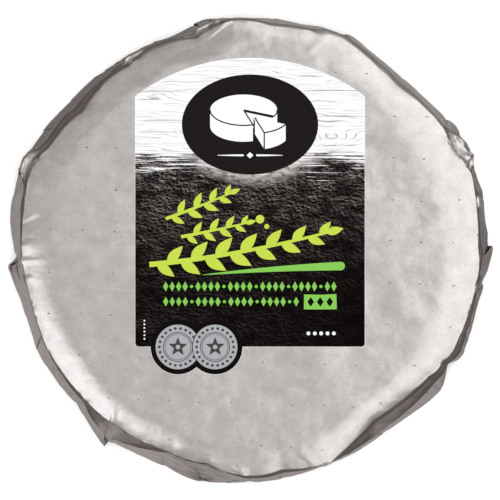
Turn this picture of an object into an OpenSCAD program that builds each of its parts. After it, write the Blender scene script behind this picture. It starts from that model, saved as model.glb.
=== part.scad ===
// Camembert round shut in pleated foil, with a die-cut paper label on its top face.
// The foil is drawn down over the soft round and gathered underneath. Below the shoulder lies a
// crease, then a narrow ledge, then a wall that leans out to a foot, where the pleats' free edges
// stand out furthest.
// Millimetres, +Z up. The origin is on the table, under the middle of the foot's outline.

/* [Round] */
// Mean radius at the foot, the widest line of the wrapped round
foot_radius = 52; // [42:0.5:62]
// Height of the top face above the table
height = 28; // [20:0.5:36]
// How far the wall leans in from the foot to its upper edge
wall_lean = 2; // [1:0.1:4]
// Height of the ledge between the wall's upper edge and the crease under the shoulder
ledge_rise = 2.5; // [1:0.1:5]
// How far the crease under the shoulder lies inside the wall's upper edge
ledge_width = 0.5; // [0.2:0.1:2]
// Height of the soft shoulder from the crease up to the top face
shoulder_rise = 4; // [2:0.5:6]
// Width of the soft shoulder between the crease and the flat top face
shoulder_width = 4.7; // [3:0.1:8]
// Height of the widest line above the table
foot_rise = 2.4; // [1:0.2:4]
// How far the foil turns in below the widest line before it lies flat
foot_turn = 2.6; // [1:0.2:5]

/* [Pleats] */
// Step from a pleat's free edge down to the panel that it laps over
pleat_step = 0.8; // [0.3:0.1:1.4]
// Turn about the axis between a free edge and the panel beneath it, in degrees
pleat_turn = 0.7; // [0.4:0.1:1.5]
// Depth of the groove under each lap of the underside
groove_depth = 0.4; // [0.1:0.1:0.8]
// Radius of the gathered middle of the underside
gather_radius = 9; // [5:0.5:14]
// Depth of the dimple in the gathered middle
gather_depth = 0.9; // [0.3:0.1:1.5]

/* [Label] */
// Width of the label
label_w = 50.8; // [40:0.2:62]
// Distance from the middle of the top face down to the label's straight bottom edge
label_drop = 21.4; // [16:0.2:26]
// Margin between the flat top's edge and the label's arched head, which follows it
label_margin = 2.4; // [0:0.2:6]
// Thickness of the label's paper
label_t = 0.15; // [0.1:0.05:0.4]
// Radius of the label's two upper corners
upper_corner_r = 1; // [0.4:0.1:2]
// Radius of the label's two lower corners
lower_corner_r = 0.7; // [0.3:0.1:2]
// Radius of the two round seals cut out with the bottom edge
seal_r = 6.1; // [4:0.1:8]
// Distance between the two seals
seal_pitch = 8.2; // [6:0.2:12]
// Distance from the label's middle to the midpoint between the seals, to the left
seal_offset = 11.8; // [8:0.2:14]

/* [Hidden] */

// One row for each fold line, counter-clockwise from +X: its angle in degrees, how far its free
// edge stands out from foot_radius, the step down to the panel it laps over as a share of
// pleat_step, how far the wall's upper edge stands out from wall_radius, how far the crease stands
// out from crease_radius, and how far the panel that follows bows out at the foot from the
// straight line to the next fold.
FOLDS = [
    [1, 1.8, 1.4, 1.5, 0.9, 0.6],
    [19, 1.1, 0.1, 2, 2.4, 0.4],
    [28, 1.5, 0.1, 1, 0.6, 0.2],
    [33.5, 1.1, 0.9, 0.8, 1.2, 0.3],
    [48, -0.8, 0.1, -0.1, 0, 0.3],
    [66.5, 0.9, 1, 2, 2.2, 0.3],
    [84, -0.2, 0.1, 0.6, 0.9, 0.2],
    [94, -0.1, 0.1, 1.5, 1.8, 0.2],
    [104, 0.3, 0.9, 0, -0.6, -0.3],
    [115, -1, 0.1, 0.2, 0.4, 0.3],
    [129, -0.4, 0.2, 0.2, 0.2, 0.2],
    [140, 0.1, 0.1, 0.2, -0.8, 0.1],
    [150, 1.1, 0.1, 1.4, 0.7, 0.2],
    [161, 3, 0.6, 2.8, 2.4, 1.1],
    [181, 0.4, 0.1, 0.9, 1.1, -0.3],
    [183.5, 2.1, 0.2, 0.6, 0.9, -0.6],
    [205, 0.5, 0.3, 0.2, 0.4, 0.5],
    [221, -0.6, 0.1, -0.1, -0.3, 0.4],
    [233.5, 2.4, 2.3, 2.1, -0.7, 0.1],
    [248, -0.6, 0.1, -1.7, -1.5, 0.4],
    [258, 0.6, 0.5, -1.5, -1.4, 0.3],
    [269, -0.7, 0.1, 0.4, 0.4, 0.3],
    [278, -1, 0.1, -0.3, -0.5, 0.5],
    [290, -1.7, 0.1, 0.1, 0.5, 0.7],
    [306, -1.8, 0.1, -0.7, -2.6, 0.5],
    [324, 0.3, 0.1, 0.2, -0.9, 0.1],
    [329.5, -1.3, 0.1, 0.4, 0, 0.7],
    [335, 0.5, 0.3, 1.5, 0.7, -0.1],
    [351.5, 0.5, 0.4, 1, 1, 0.3],
];
ANGLE = 0;
FOOT_OUT = 1;
STEP_SHARE = 2;
WALL_OUT = 3;
CREASE_OUT = 4;
BOW = 5;

panel_steps = 5;     // straight stretches across each panel
shoulder_steps = 5;  // rings up the shoulder
foot_steps = 3;      // rings round the foot
groove_share = 0.18; // share of a panel over which its groove runs out
wall_step_share = 0.4; // share of a pleat's step that is left at the wall's upper edge
upper_bow = 0.4;     // how far each panel bows out above the foot
count = len(FOLDS);

wall_radius = foot_radius - wall_lean;
crease_radius = wall_radius - ledge_width;
crease_height = height - shoulder_rise;
wall_height = crease_height - ledge_rise;
flat_radius = crease_radius - shoulder_width;

// Angle of fold k, which runs on past 360 degrees after the last one.
function fold_angle(k) = FOLDS[k % count][ANGLE] + 360 * floor(k / count);

// Radius at share t of the straight line between two points given as angle and radius, plus a bow.
function chord_radius(a0, r0, a1, r1, t, bow) =
    let (p = [r0 * cos(a0), r0 * sin(a0)] * (1 - t) + [r1 * cos(a1), r1 * sin(a1)] * t)
    norm(p) + bow * 4 * t * (1 - t);

// Each column of the skin is
// [angle, foot radius, wall's upper radius, crease radius, share of the groove's depth].
// A fold gives two columns: its free edge, and the start of the panel tucked under it.
function edge_column(k) = [
    fold_angle(k),
    foot_radius + FOLDS[k % count][FOOT_OUT],
    wall_radius + FOLDS[k % count][WALL_OUT],
    crease_radius + FOLDS[k % count][CREASE_OUT],
    0,
];
function panel_column(k, t) =
    let (
        here = edge_column(k),
        next = edge_column(k + 1),
        step = pleat_step * FOLDS[k % count][STEP_SHARE],
        bow = FOLDS[k % count][BOW],
        start = here[0] + pleat_turn
    )
    [
        start + (next[0] - start) * t,
        chord_radius(start, here[1] - step, next[0], next[1], t, bow),
        chord_radius(start, here[2] - step * wall_step_share, next[0], next[2], t, upper_bow),
        chord_radius(start, here[3], next[0], next[3], t, upper_bow),
        max(0, 1 - t / groove_share),
    ];
panel_shares = [0, groove_share, for (i = [2 : panel_steps - 1]) i / panel_steps];
columns = [
    for (k = [0 : count - 1])
        each concat([edge_column(k)], [for (t = panel_shares) panel_column(k, t)])
];
n = len(columns);

// The middle of the foot's outline, which is moved over the origin.
foot_xs = [for (c = columns) c[1] * cos(c[0])];
foot_ys = [for (c = columns) c[1] * sin(c[0])];
outline_middle = [(min(foot_xs) + max(foot_xs)) / 2, (min(foot_ys) + max(foot_ys)) / 2];

// A point of the skin at column c.
function polar(c, radius, z) = [radius * cos(c[0]), radius * sin(c[0]), z];

// Rings of the skin from the underside's middle to the flat top, each one point for each column.
gather_ring = [for (c = columns) polar(c, gather_radius, c[4] * groove_depth)];
rest_ring = [for (c = columns) polar(c, c[1] - foot_turn, c[4] * groove_depth)];
foot_rings = [
    for (i = [1 : foot_steps])
        let (a = 90 * i / foot_steps)
        [for (c = columns)
            polar(c, c[1] - foot_turn * (1 - sin(a)),
                  foot_rise * (1 - cos(a)) + c[4] * groove_depth * cos(a))]
];
wall_ring = [for (c = columns) polar(c, c[2], wall_height)];
shoulder_rings = [
    for (i = [0 : shoulder_steps - 1])
        let (a = 90 * i / shoulder_steps)
        [for (c = columns)
            polar(c, flat_radius + (c[3] - flat_radius) * cos(a),
                  crease_height + shoulder_rise * sin(a))]
];
flat_ring = [for (c = columns) polar(c, flat_radius, height)];
rings = concat([gather_ring, rest_ring], foot_rings, [wall_ring], shoulder_rings, [flat_ring]);

module wrapped_cheese() {
    bottom = [0, 0, gather_depth];
    points = concat([bottom], [for (ring = rings) each ring]);
    // Index of column j in ring i.
    function at(i, j) = 1 + i * n + j % n;
    middle_faces = [for (j = [0 : n - 1]) [0, at(0, j), at(0, j + 1)]];
    skin_faces = [
        for (i = [0 : len(rings) - 2], j = [0 : n - 1])
            each [[at(i, j), at(i + 1, j), at(i + 1, j + 1)],
                  [at(i, j), at(i + 1, j + 1), at(i, j + 1)]]
    ];
    top_face = [[for (j = [n - 1 : -1 : 0]) at(len(rings) - 1, j)]];
    color("silver")
        translate([-outline_middle.x, -outline_middle.y, 0])
            polyhedron(points, concat(middle_faces, skin_faces, top_face), convexity = 6);
}

// What a corner of radius r loses: the patch between its two straight sides and its arc.
// middle is the arc's centre, and the patch reaches out to the other three points.
module corner_waste(middle, r, side_point, tip, end_point) {
    difference() {
        polygon([middle, side_point, tip, end_point]);
        translate(middle) circle(r, $fn = 48);
    }
}

module label_outline() {
    head_r = flat_radius - label_margin;
    reach = 1; // how far a waste patch runs past the outline
    half = label_w / 2;
    upper = [half - upper_corner_r,
             sqrt(pow(head_r - upper_corner_r, 2) - pow(half - upper_corner_r, 2))];
    lower = [half - lower_corner_r, -label_drop + lower_corner_r];
    difference() {
        intersection() {
            circle(head_r, $fn = 180);
            translate([-half, -label_drop]) square([label_w, label_drop + head_r]);
        }
        for (side = [0, 1]) mirror([side, 0]) {
            corner_waste(upper, upper_corner_r,
                         [half + reach, upper.y],
                         [half + reach, upper.y * (head_r + reach) / norm(upper)],
                         upper * (head_r + reach) / norm(upper));
            corner_waste(lower, lower_corner_r,
                         [half + reach, lower.y],
                         [half + reach, -label_drop - reach],
                         [lower.x, -label_drop - reach]);
        }
    }
    for (side = [-0.5, 0.5])
        translate([-seal_offset + side * seal_pitch, -label_drop]) circle(seal_r, $fn = 96);
}

module label() {
    color("dimgray")
        translate([-outline_middle.x, -outline_middle.y, height])
            linear_extrude(label_t) label_outline();
}

wrapped_cheese();
label();
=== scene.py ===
# %% [markdown]
# # A camembert round, shut in foil
#
# The real thing is a soft round cheese, about 104 mm across and 28 mm tall, wrapped in one sheet of
# thin foil. The sheet lies smooth over the top face, bends over the soft shoulder, and has too much
# material for the wall, so it is laid in flat pleats there and gathered under the base. A die-cut
# paper label is stuck on top. The CAD model gives the true sizes, and this lesson makes what is seen:
# the folded sheet, the rows of breathing holes, and the printed label.

# %% The frame
import math

import bpy
import numpy as np
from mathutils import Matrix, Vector, noise
from mathutils.bvhtree import BVHTree
from mathutils.geometry import delaunay_2d_cdt


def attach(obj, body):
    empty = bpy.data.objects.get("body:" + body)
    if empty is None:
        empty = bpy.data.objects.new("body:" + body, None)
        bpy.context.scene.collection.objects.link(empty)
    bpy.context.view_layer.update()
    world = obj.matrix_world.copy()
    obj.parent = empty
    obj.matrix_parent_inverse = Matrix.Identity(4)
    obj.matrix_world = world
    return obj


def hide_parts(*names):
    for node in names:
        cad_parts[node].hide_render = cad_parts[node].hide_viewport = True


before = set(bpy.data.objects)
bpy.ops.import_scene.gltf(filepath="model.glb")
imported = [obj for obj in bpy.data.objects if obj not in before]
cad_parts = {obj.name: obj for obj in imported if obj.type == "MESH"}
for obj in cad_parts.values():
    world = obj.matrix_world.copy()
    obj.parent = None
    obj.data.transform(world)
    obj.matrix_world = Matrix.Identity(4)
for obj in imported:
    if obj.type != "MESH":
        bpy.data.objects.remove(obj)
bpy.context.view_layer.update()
MM = 0.001

# %% [markdown]
# ## The outlines that the foil follows
#
# Four level outlines carry the shape of the wrapped round: the foot, the wall's upper edge, the crease
# under the shoulder, and the flat top. They could be typed in again here, but then the picture and the
# CAD would drift apart. They are read from the CAD node instead, as a radius for each angle, so a
# change to the part's source moves the foil with it.

# %% Reading the four outlines
FOOT_Z, WALL_Z, CREASE_Z, TOP_Z = 2.4, 21.5, 24.0, 28.0


def cad_outline(height):
    """(angles in degrees, radii in mm) of the CAD round's corners at one height."""
    points = np.array([v.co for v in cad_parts["wrapped_cheese"].data.vertices]) / MM
    ring = points[np.abs(points[:, 2] - height) < 0.02]
    angle = np.round(np.degrees(np.arctan2(ring[:, 1], ring[:, 0])) % 360, 3)
    angle, first = np.unique(angle, return_index=True)
    return angle, np.hypot(ring[:, 0], ring[:, 1])[first]


def radius_at(outline, angle):
    """Radius in mm of an outline at an angle, or at a whole array of angles."""
    return np.interp(angle, *outline, period=360)


FOOT, WALL, CREASE, FLAT = (cad_outline(z) for z in (FOOT_Z, WALL_Z, CREASE_Z, TOP_Z))
for name, outline in (("foot", FOOT), ("wall", WALL), ("crease", CREASE), ("flat top", FLAT)):
    print(f"{name}: {len(outline[0])} corners, radius {outline[1].min():.1f} to {outline[1].max():.1f} mm")

# %% [markdown]
# ## The pleats as columns of one sheet
#
# A pleat is a Z-fold: the sheet runs forward to a free edge, turns back under itself, then runs forward
# again as the next panel. A bump map can't do that, and separate strips would not be one sheet. So the
# foil is one grid whose columns are lines on the flat sheet, from the middle of the top to the middle
# of the base. Each column has one angle at the shoulder and another at the foot. At the shoulder the
# angles only grow, so the sheet is smooth there. At the foot they step back at each fold, so the
# laps open by themselves as the sheet runs down the wall.

# %% Columns
# Each fold: angle of its free edge at the foot, width of its lap in mm, slant back to the shoulder in
# degrees, and the height in mm of its free edge over the panel that comes out from under it.
FOLDS = [
    (1, 4.2, 3, 0.9), (19, 1.6, -1, 0.1), (28, 2.4, 1, 0.1), (33.5, 3.4, 3, 0.05), (48, 2.4, -1, 0.08),
    (66.5, 4.5, 3, 0.3), (84, 2.2, -2, 0.08), (94, 2.4, 1, 0.08), (104, 4.4, 3, 0.35), (115, 3, 1, 0.08),
    (129, 4, 2, 0.1), (140, 2.4, -1, 0.08), (150, 3, 2, 0.1), (161, 4.2, 2, 0.4), (181, 1.2, 0, 0.1),
    (183.5, 1.6, 1, 0.2), (205, 4, 3, 0.04), (221, 2.4, -2, 0.08), (233.5, 5, 2, 1.6), (248, 2.4, 2, 0.03),
    (258, 4, 3, 0.1), (269, 3, -1, 0.1), (278, 2.4, 1, 0.08), (290, 4, 3, 0.1), (306, 3, 2, 0.1),
    (324, 3, 1, 0.1), (329.5, 2.2, 1, 0.1), (335, 3, 0, 0.15), (351.5, 4, 2, 0.3),
]
COLUMN_TURN = 0.66  # degrees between columns
NIP = 0.16          # degrees left at the shoulder between the three layers of a fold
LAYER = 0.04        # mm between two layers of foil at the foot
CURL = 2.5          # degrees over which a panel bends to and from the wall near a free edge
PANEL_START = 0.75  # degrees past a free edge, by which the CAD's next panel has begun
RIM = 52            # mm, the round's mean radius, at which laps are measured


def foot_at(angle):
    """Radius in mm of the CAD's foot at one angle."""
    return float(radius_at(FOOT, angle))


def foil_columns():
    """Arrays over the columns: angle at the shoulder, angle and radius at the foot, layers above it."""
    columns = []
    for k, (edge, lap, slant, _) in enumerate(FOLDS):
        next_edge, next_lap, next_slant, next_step = FOLDS[(k + 1) % len(FOLDS)]
        next_edge += 360 * (k + 1 == len(FOLDS))
        tucked = edge - math.degrees(lap / RIM)
        beneath = foot_at(edge + PANEL_START)
        next_tip = min(foot_at(next_edge), foot_at(next_edge + PANEL_START) + next_step)
        curl_in = foot_at(next_edge) - next_tip
        steps = max(4, round((next_edge - tucked) / COLUMN_TURN))
        for t in np.linspace(0, 1, steps + 1):
            foot = tucked + (next_edge - tucked) * t
            top = edge - slant + NIP + (next_edge - next_slant - edge + slant - 2 * NIP) * t
            radius = foot_at(foot)
            if foot < edge + PANEL_START:
                radius = min(radius, beneath)
            layers = 2 * min(1, max(0, 1 - (foot - edge) / CURL))
            radius -= LAYER * layers
            radius -= curl_in * max(0, 1 - (next_edge - foot) / CURL) ** 2
            columns.append((top, foot, radius, layers))
        middle = next_edge - math.degrees(next_lap / (2 * RIM))
        radius = min(foot_at(middle), next_tip) - LAYER
        columns.append((next_edge - next_slant, middle, radius, 1))
    return np.array(columns).T


column_top, column_foot, column_radius, column_layers = foil_columns()
spare = column_foot.size * COLUMN_TURN - 360
print(f"{len(FOLDS)} folds, {len(column_top)} columns, laps take up {spare:.0f} degrees")

# %% [markdown]
# ## What bends the sheet
#
# Between its folds, real foil is never smooth. Over the flat cheese it lies in broad, very shallow
# waves that only reflections show. Where it is squeezed it breaks into small flat facets with sharp
# edges between them. And short stiff creases run in over the shoulder from the pleats. Each of these is
# a height in mm that is added to the sheet, so they can be tuned one by one. The facets are a jittered
# grid of triangles with a random height at each corner: rays dropped on it read the height, which keeps
# the facets flat and their edges sharp, as noise can't.

# %% Waves
def wave(x, y, z, length, seed=0.0):
    """Smooth noise from -1 to 1 over arrays of places in mm, with waves of about that length."""
    flat = [np.asarray(a, float).ravel() / length for a in np.broadcast_arrays(x, y, z)]
    values = [noise.noise(Vector((a + seed, b - seed, c))) for a, b, c in zip(*flat)]
    return np.array(values).reshape(np.broadcast(x, y, z).shape) * 1.6


def smooth_step(low, high, value):
    """0 up to low, 1 from high on, and a soft rise between them."""
    t = np.clip((value - low) / (high - low), 0, 1)
    return t * t * (3 - 2 * t)


DOME, DOME_REACH = 0.8, 42  # mm that the top face has fallen at that many mm from its middle


def top_waves(x, y):
    """Height in mm of the foil's waves on the top face, most of them longer from left to right."""
    broad = 0.10 * wave(x, y * 0.8, 0, 24, 3.1) + 0.05 * wave(x * 0.7, y, 0, 11, 8.4)
    fine = 0.04 * wave(x * 0.6, y, 0, 4.5, 1.7) + 0.012 * wave(x * 0.7, y, 0, 2.2, 4.4)
    dents = np.maximum(0, wave(x * 0.55, y, 0, 5.5, 12.7) - 0.3)
    bumps = np.maximum(0, wave(x * 0.6 - y * 0.2, y, 0, 7.0, 21.3) - 0.3)
    return broad + fine - 0.13 * dents + 0.13 * bumps - 0.19


def top_height(x, y):
    """Height in mm of the foil's top face above the table."""
    return TOP_Z - DOME * (x * x + y * y) / DOME_REACH ** 2 + top_waves(x, y)


print(f"the top face falls {DOME} mm over its inner {DOME_REACH} mm")

# %% Facets
class Facets:
    """A field of flat triangles round the rim: read(angle, run) gives a height from -1 to 1."""

    def __init__(self, size, seed, run=60.0, round_trip=327.0):
        random = np.random.default_rng(seed)
        around, along = round(round_trip / size), round(run / size) + 2
        self.degrees_to_mm = round_trip / 360
        shift = random.uniform(-0.42, 0.42, (along, around, 2))
        height = random.uniform(-1, 1, (along, around))
        points, faces = [], []
        for j in range(along):
            for i in range(-2, around + 3):
                dx, dy = shift[j, i % around]
                points.append(((i + dx) * round_trip / around, (j - 1 + dy) * size, height[j, i % around]))
        wide = around + 5
        for j in range(along - 1):
            for i in range(wide - 1):
                a, b, c, d = j * wide + i, j * wide + i + 1, (j + 1) * wide + i + 1, (j + 1) * wide + i
                faces += [(a, b, c), (a, c, d)] if (i * 7 + j * 3) % 5 < 3 else [(a, b, d), (b, c, d)]
        self.tree = BVHTree.FromPolygons(points, faces)

    def read(self, angle, run):
        out = np.zeros(angle.shape)
        down = Vector((0, 0, -1))
        for place in np.ndindex(angle.shape):
            start = Vector((angle[place] % 360 * self.degrees_to_mm, run[place], 5))
            hit = self.tree.ray_cast(start, down)[0]
            out[place] = hit.z if hit else 0.0
        return out


coarse_facets, fine_facets, wad_facets = Facets(3.4, 11), Facets(1.7, 12), Facets(1.5, 21)
print("facets of 3.4, 1.7 and 1.5 mm")

# %% Creases
# Each crease: angle and radius of its outer end, of its inner end, height and width in mm.
CREASES = [
    (95, 51, 107, 45.5, 0.45, 3.0), (131.5, 50, 133.5, 46.5, 0.35, 1.6),
    (120, 50.5, 123.5, 47.5, 0.25, 2.0), (148, 49, 147, 43.5, 0.14, 2.6),
    (155, 47.5, 156.8, 43.2, 0.16, 1.4), (173.5, 50.5, 169.5, 45.8, -0.2, 2.4),
    (178.6, 50.5, 177, 46.6, 0.26, 2.6), (187.3, 50, 187, 48, 0.24, 0.9),
    (197, 50.4, 194.2, 48.6, 0.2, 1.4), (221, 49.4, 224.5, 47, 0.22, 1.6),
    (231.2, 48.8, 229, 45.8, 0.26, 1.2), (268.3, 50, 264.5, 47.4, 0.3, 1.8),
    (23.7, 50.2, 24.8, 47.2, 0.2, 1.2), (30.4, 50.6, 28.6, 47.6, 0.24, 1.6),
    (12, 51.4, 13.4, 49.6, 0.22, 1.0), (20.5, 50, 24.5, 44, -0.16, 2.6),
    (62.5, 51, 59.5, 47.5, 0.14, 2.2), (69.5, 51, 74.5, 44.2, 0.2, 2.2),
    (286, 49, 282, 44.5, 0.14, 2.4), (309.8, 47.6, 309, 44.6, 0.18, 1.2),
    (334.4, 50, 333.6, 44.2, 0.16, 1.4), (338.6, 50.4, 340.5, 47, 0.24, 1.4),
    (356.8, 50.3, 355, 45.6, 0.14, 2.4), (84.5, 50.5, 87, 46, 0.12, 2.0),
]
STEEP_SIDE = 0.5  # mm across a crease's steep side


def crease_height(x, y):
    """Height in mm of all the shoulder creases: steep on one side, soft on the other."""
    total = np.zeros(x.shape)
    for angle_out, r_out, angle_in, r_in, height, width in CREASES:
        inner, outer = (r * np.array([math.cos(math.radians(a)), math.sin(math.radians(a))])
                        for a, r in ((angle_in, r_in), (angle_out, r_out)))
        length = math.dist(inner, outer)
        along = (outer - inner) / length
        dx, dy = x - inner[0], y - inner[1]
        t = (dx * along[0] + dy * along[1]) / length
        side = dy * along[0] - dx * along[1]
        across = np.clip(np.where(side > 0, 1 - side / width, 1 + side / STEEP_SIDE), 0, 1)
        total += height * across * smooth_step(0, 0.7, t) * (1 - smooth_step(1.0, 1.25, t))
    return total


print(f"{len(CREASES)} creases")

# %% [markdown]
# ## The foil sheet
#
# Now the grid is laid row by row, from the middle of the top face, over the shoulder, down the wall,
# round the foot and in to the gathered middle of the base. Each row knows how far down the sheet it
# lies, and the laps open in step with that. The heights from the last cell push the sheet along its own
# lean: up on the top face, outwards on the wall, down under the base. A UV map holds each point's place
# on the flat sheet, which the breathing holes use later.

# %% Rows
# Each row: what it belongs to, its share of the way through that, and how far the laps are open.
ROWS = [("top", (i / 38) ** 0.75, 0.0) for i in range(1, 39)]
ROWS += [("shoulder", i / 21, 0.0) for i in range(1, 22)]
ROWS += [("edge", i / 6, 0.0) for i in range(1, 7)]
ROWS += [("ledge", i / 10, 0.0165 * i) for i in range(1, 11)]
ROWS += [("wall", i / 28, 0.165 + 0.835 * i / 28) for i in range(1, 29)]
ROWS += [("foot", i / 5, 1.0) for i in range(1, 6)]
ROWS += [("base", i / 18, 1.0) for i in range(1, 19)]
FLAT_EDGE = float(FLAT[1].mean()) - 3.0  # mm from the middle to where the foil starts to bend down
# Length of each part in mm, as the sheet runs, and how far from the sheet's middle each part starts.
RUN_LENGTHS = {"top": FLAT_EDGE, "shoulder": 7.5, "edge": 2.3, "ledge": 2.6, "wall": 19.2, "foot": 3.9,
               "base": 47.0}
RUN_STARTS = dict(zip(RUN_LENGTHS, np.cumsum([0.0, *RUN_LENGTHS.values()])))
SHOULDER_BEND, BEND_POWER = 1.5, 2.3  # mm that the shoulder's edge lies below the domed top carried on
FOOT_TURN, GATHER = 2.6, 2.0  # mm that the foil turns in at the foot, and radius of the gathered middle
SWIRL = 24             # degrees that the folds turn on their way in under the base
# How far the shoulder's edge lies inside the crease, in mm, at each of these angles: where it is wide
# the shoulder rolls over softly, where it is narrow the edge is pinched sharp.
EDGE_WIDTHS = [
    (0, 0.08), (18, 0.1), (23, 0.45), (29, 0.45), (34, 0.4), (45, 0.8), (62, 0.8), (80, 0.7), (94, 0.4),
    (104, 0.6), (114, 1.0), (126, 0.95), (141, 1.0), (151, 0.8), (158, 0.3), (172, 0.08), (262, 0.08),
    (276, 0.2), (287, 0.1), (293, 0.4), (303, 0.85), (318, 0.85), (329, 0.5), (342, 0.15), (352, 0.08),
]


def domed(radius):
    """Height in mm of the smooth dome of the top face."""
    return TOP_Z - DOME * (radius / DOME_REACH) ** 2


def edge_width(angle):
    return radius_at(tuple(zip(*EDGE_WIDTHS)), angle)

# %% The path down the sheet
# Each of these gives the radius, the height and the lean of one row of the sheet: 90 degrees of lean
# faces up, 0 outwards and -90 down.
def top_row(share, angle):
    radius = np.full(angle.shape, FLAT_EDGE * share)
    return radius, domed(radius), 90


def shoulder_row(share, angle):
    reach = radius_at(CREASE, angle) - edge_width(angle) - FLAT_EDGE
    radius = FLAT_EDGE + reach * share
    return radius, domed(radius) - SHOULDER_BEND * share ** BEND_POWER, 90 - 25 * share


def edge_row(share, angle):
    """Down over the edge, starting with the shoulder's own slope."""
    crease, width = radius_at(CREASE, angle), edge_width(angle)
    start = crease - width
    slope = SHOULDER_BEND * BEND_POWER / (start - FLAT_EDGE) + 2 * DOME * start / DOME_REACH ** 2
    drop = domed(start) - SHOULDER_BEND - CREASE_Z
    steady = np.minimum(0.8, slope * width / drop)
    height = CREASE_Z + drop * (1 - steady * share - (1 - steady) * share ** 2)
    return crease - width * (1 - share), height, 65 - 45 * share


def ledge_row(share, angle):
    crease, wall = radius_at(CREASE, angle), radius_at(WALL, angle)
    bend = np.clip(2.2 / np.maximum(wall - crease, 0.1), 1.0, 5.0)
    radius = crease + (wall - crease) * (1 - (1 - share) ** bend)
    return radius, CREASE_Z + (WALL_Z - CREASE_Z) * share, 10


def wall_row(share, angle):
    wall = radius_at(WALL, angle)
    return wall + (column_radius - wall) * share, WALL_Z + (FOOT_Z - WALL_Z) * share, 0


def foot_row(share, angle):
    turn = math.radians(90 * share)
    radius = column_radius - FOOT_TURN * (1 - math.cos(turn))
    return radius, FOOT_Z * (1 - math.sin(turn)), -90 * share


def base_row(share, angle):
    start = column_radius - FOOT_TURN
    return start + (GATHER - start) * share, 0.0, -90


PATH = {"top": top_row, "shoulder": shoulder_row, "edge": edge_row, "ledge": ledge_row, "wall": wall_row,
        "foot": foot_row, "base": base_row}


def foil_rows():
    """Arrays over rows and columns: angle, radius and height, and each row's lean and run."""
    angles = np.array([column_top + (column_foot - column_top) * opened for _, _, opened in ROWS])
    swirl = np.array([SWIRL * share ** 1.5 if part == "base" else 0 for part, share, _ in ROWS])
    angles = angles + swirl[:, None]
    radii, heights, leans, runs = [], [], [], []
    for (part, share, _), angle in zip(ROWS, angles):
        radius, height, lean = PATH[part](share, angle)
        radii.append(radius)
        heights.append(np.full(angle.shape, height, float))
        leans.append(math.radians(lean))
        runs.append(RUN_STARTS[part] + RUN_LENGTHS[part] * share)
    return angles, np.array(radii), np.array(heights), np.array(leans)[:, None], np.array(runs)[:, None]


angles, radii, heights, leans, runs = foil_rows()
print(f"{len(ROWS)} rows by {len(column_top)} columns, sheet reaches {runs.max():.0f} mm from its middle")

# %% [markdown]
# ## Bending the rows
#
# The amount of each height depends on where it is: broad waves on the top face, creases on the
# shoulder, facets from the shoulder's edge down, wads of spare foil at the ledge, and long flutes on the
# wall that open towards the foot. Under the base the sheet lies flat on the table between its folds and
# draws up into a small dimple, so its heights are only ever upwards there. Each kind has its own
# function that gives a push in mm for the whole grid, so one of them can be switched off to see what
# it does.

# %% Where the spare foil gathers
# Each place where the rim is squeezed: its angle and half width in degrees, and how hard.
SQUEEZES = [
    (26, 5.5, 1.0), (101, 4, 0.7), (124, 5, 0.55), (159, 4.5, 1.0), (185, 3, 0.6), (166, 6, 0.35),
    (222, 12, 0.25), (262, 7, 0.35), (338, 6, 0.5), (351, 4, 0.5), (70, 5, 0.5), (13, 6, 0.4), (291, 4, 0.4),
]
# Each wad: its angle and half width in degrees, where it starts and ends in mm of run past the top's
# edge, over how many mm it rises, and how far it stands out and up in mm.
WADS = [
    (25.5, 5.2, 9.8, 15, 2.2, 1.3, 0.6), (101, 3.6, 10.2, 14, 1.8, 0.6, 0.6),
    (123, 5.5, 9.9, 12, 1.2, 0.45, 0.5), (159, 3.8, 10.8, 17, 2.0, 1.1, 0.8),
    (290, 2.0, 7.6, 10, 1.2, 0.5, 0.5), (13, 3.0, 10, 13, 1.2, 0.3, 0.1), (351, 2.5, 10, 13, 1.2, 0.3, 0.1),
]


def degrees_from(angle, middle):
    """How many degrees an angle lies from another, the short way round."""
    return (angle - middle + 180) % 360 - 180


def squeeze(angle):
    """How hard the foil is squeezed round the rim, from 0 to 1.1: most at the gathered wads."""
    total = np.full(np.shape(angle), 0.16)
    for middle, width, amount in SQUEEZES:
        total = total + amount * np.exp(-(degrees_from(angle, middle) / width) ** 2)
    return np.minimum(total, 1.1)


print(f"{len(SQUEEZES)} squeezed places, {len(WADS)} wads")

# %% The pushes
is_part = {name: np.array([part == name for part, _, _ in ROWS])[:, None] for name in PATH}
shares = np.array([share for _, share, _ in ROWS])[:, None]
past_top = np.maximum(0, runs - FLAT_EDGE)
flat_x, flat_y = radii * np.cos(np.radians(angles)), radii * np.sin(np.radians(angles))


def on_rows(*parts):
    """Which rows belong to any of these parts."""
    return np.any([is_part[part] for part in parts], axis=0)[:, 0]


def on_rim(rows):
    """x and y in mm of these rows' points as they would lie on the rim, for noise that runs round it."""
    return RIM * np.cos(np.radians(angles[rows])), RIM * np.sin(np.radians(angles[rows]))


def top_push():
    """Waves, creases and short radial ripples, which fade out over the edge."""
    push, rows = np.zeros(radii.shape), on_rows("top", "shoulder", "edge")
    x, y = flat_x[rows], flat_y[rows]
    fade = np.where(is_part["edge"], 1 - shares, 1.0)[rows]
    ripple = wave(*on_rim(rows), radii[rows] * 0.12, 4.0, 6.6) * smooth_step(42, 49, radii[rows])
    push[rows] = (top_waves(x, y) + 0.7 * crease_height(x, y) + 0.04 * ripple) * fade
    return push


def facet_push():
    """Flat facets, from the shoulder's edge to a little way in under the base."""
    push = np.zeros(radii.shape)
    amount = smooth_step(6.0, 9.5, past_top) * (1 - smooth_step(43, 53, past_top))
    rows = amount[:, 0] > 0
    down = np.broadcast_to(past_top[rows], angles[rows].shape)
    facets = 0.45 * coarse_facets.read(angles[rows], down) + 0.34 * fine_facets.read(angles[rows], down)
    push[rows] = amount[rows] * squeeze(angles[rows]) * facets
    return push


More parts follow.
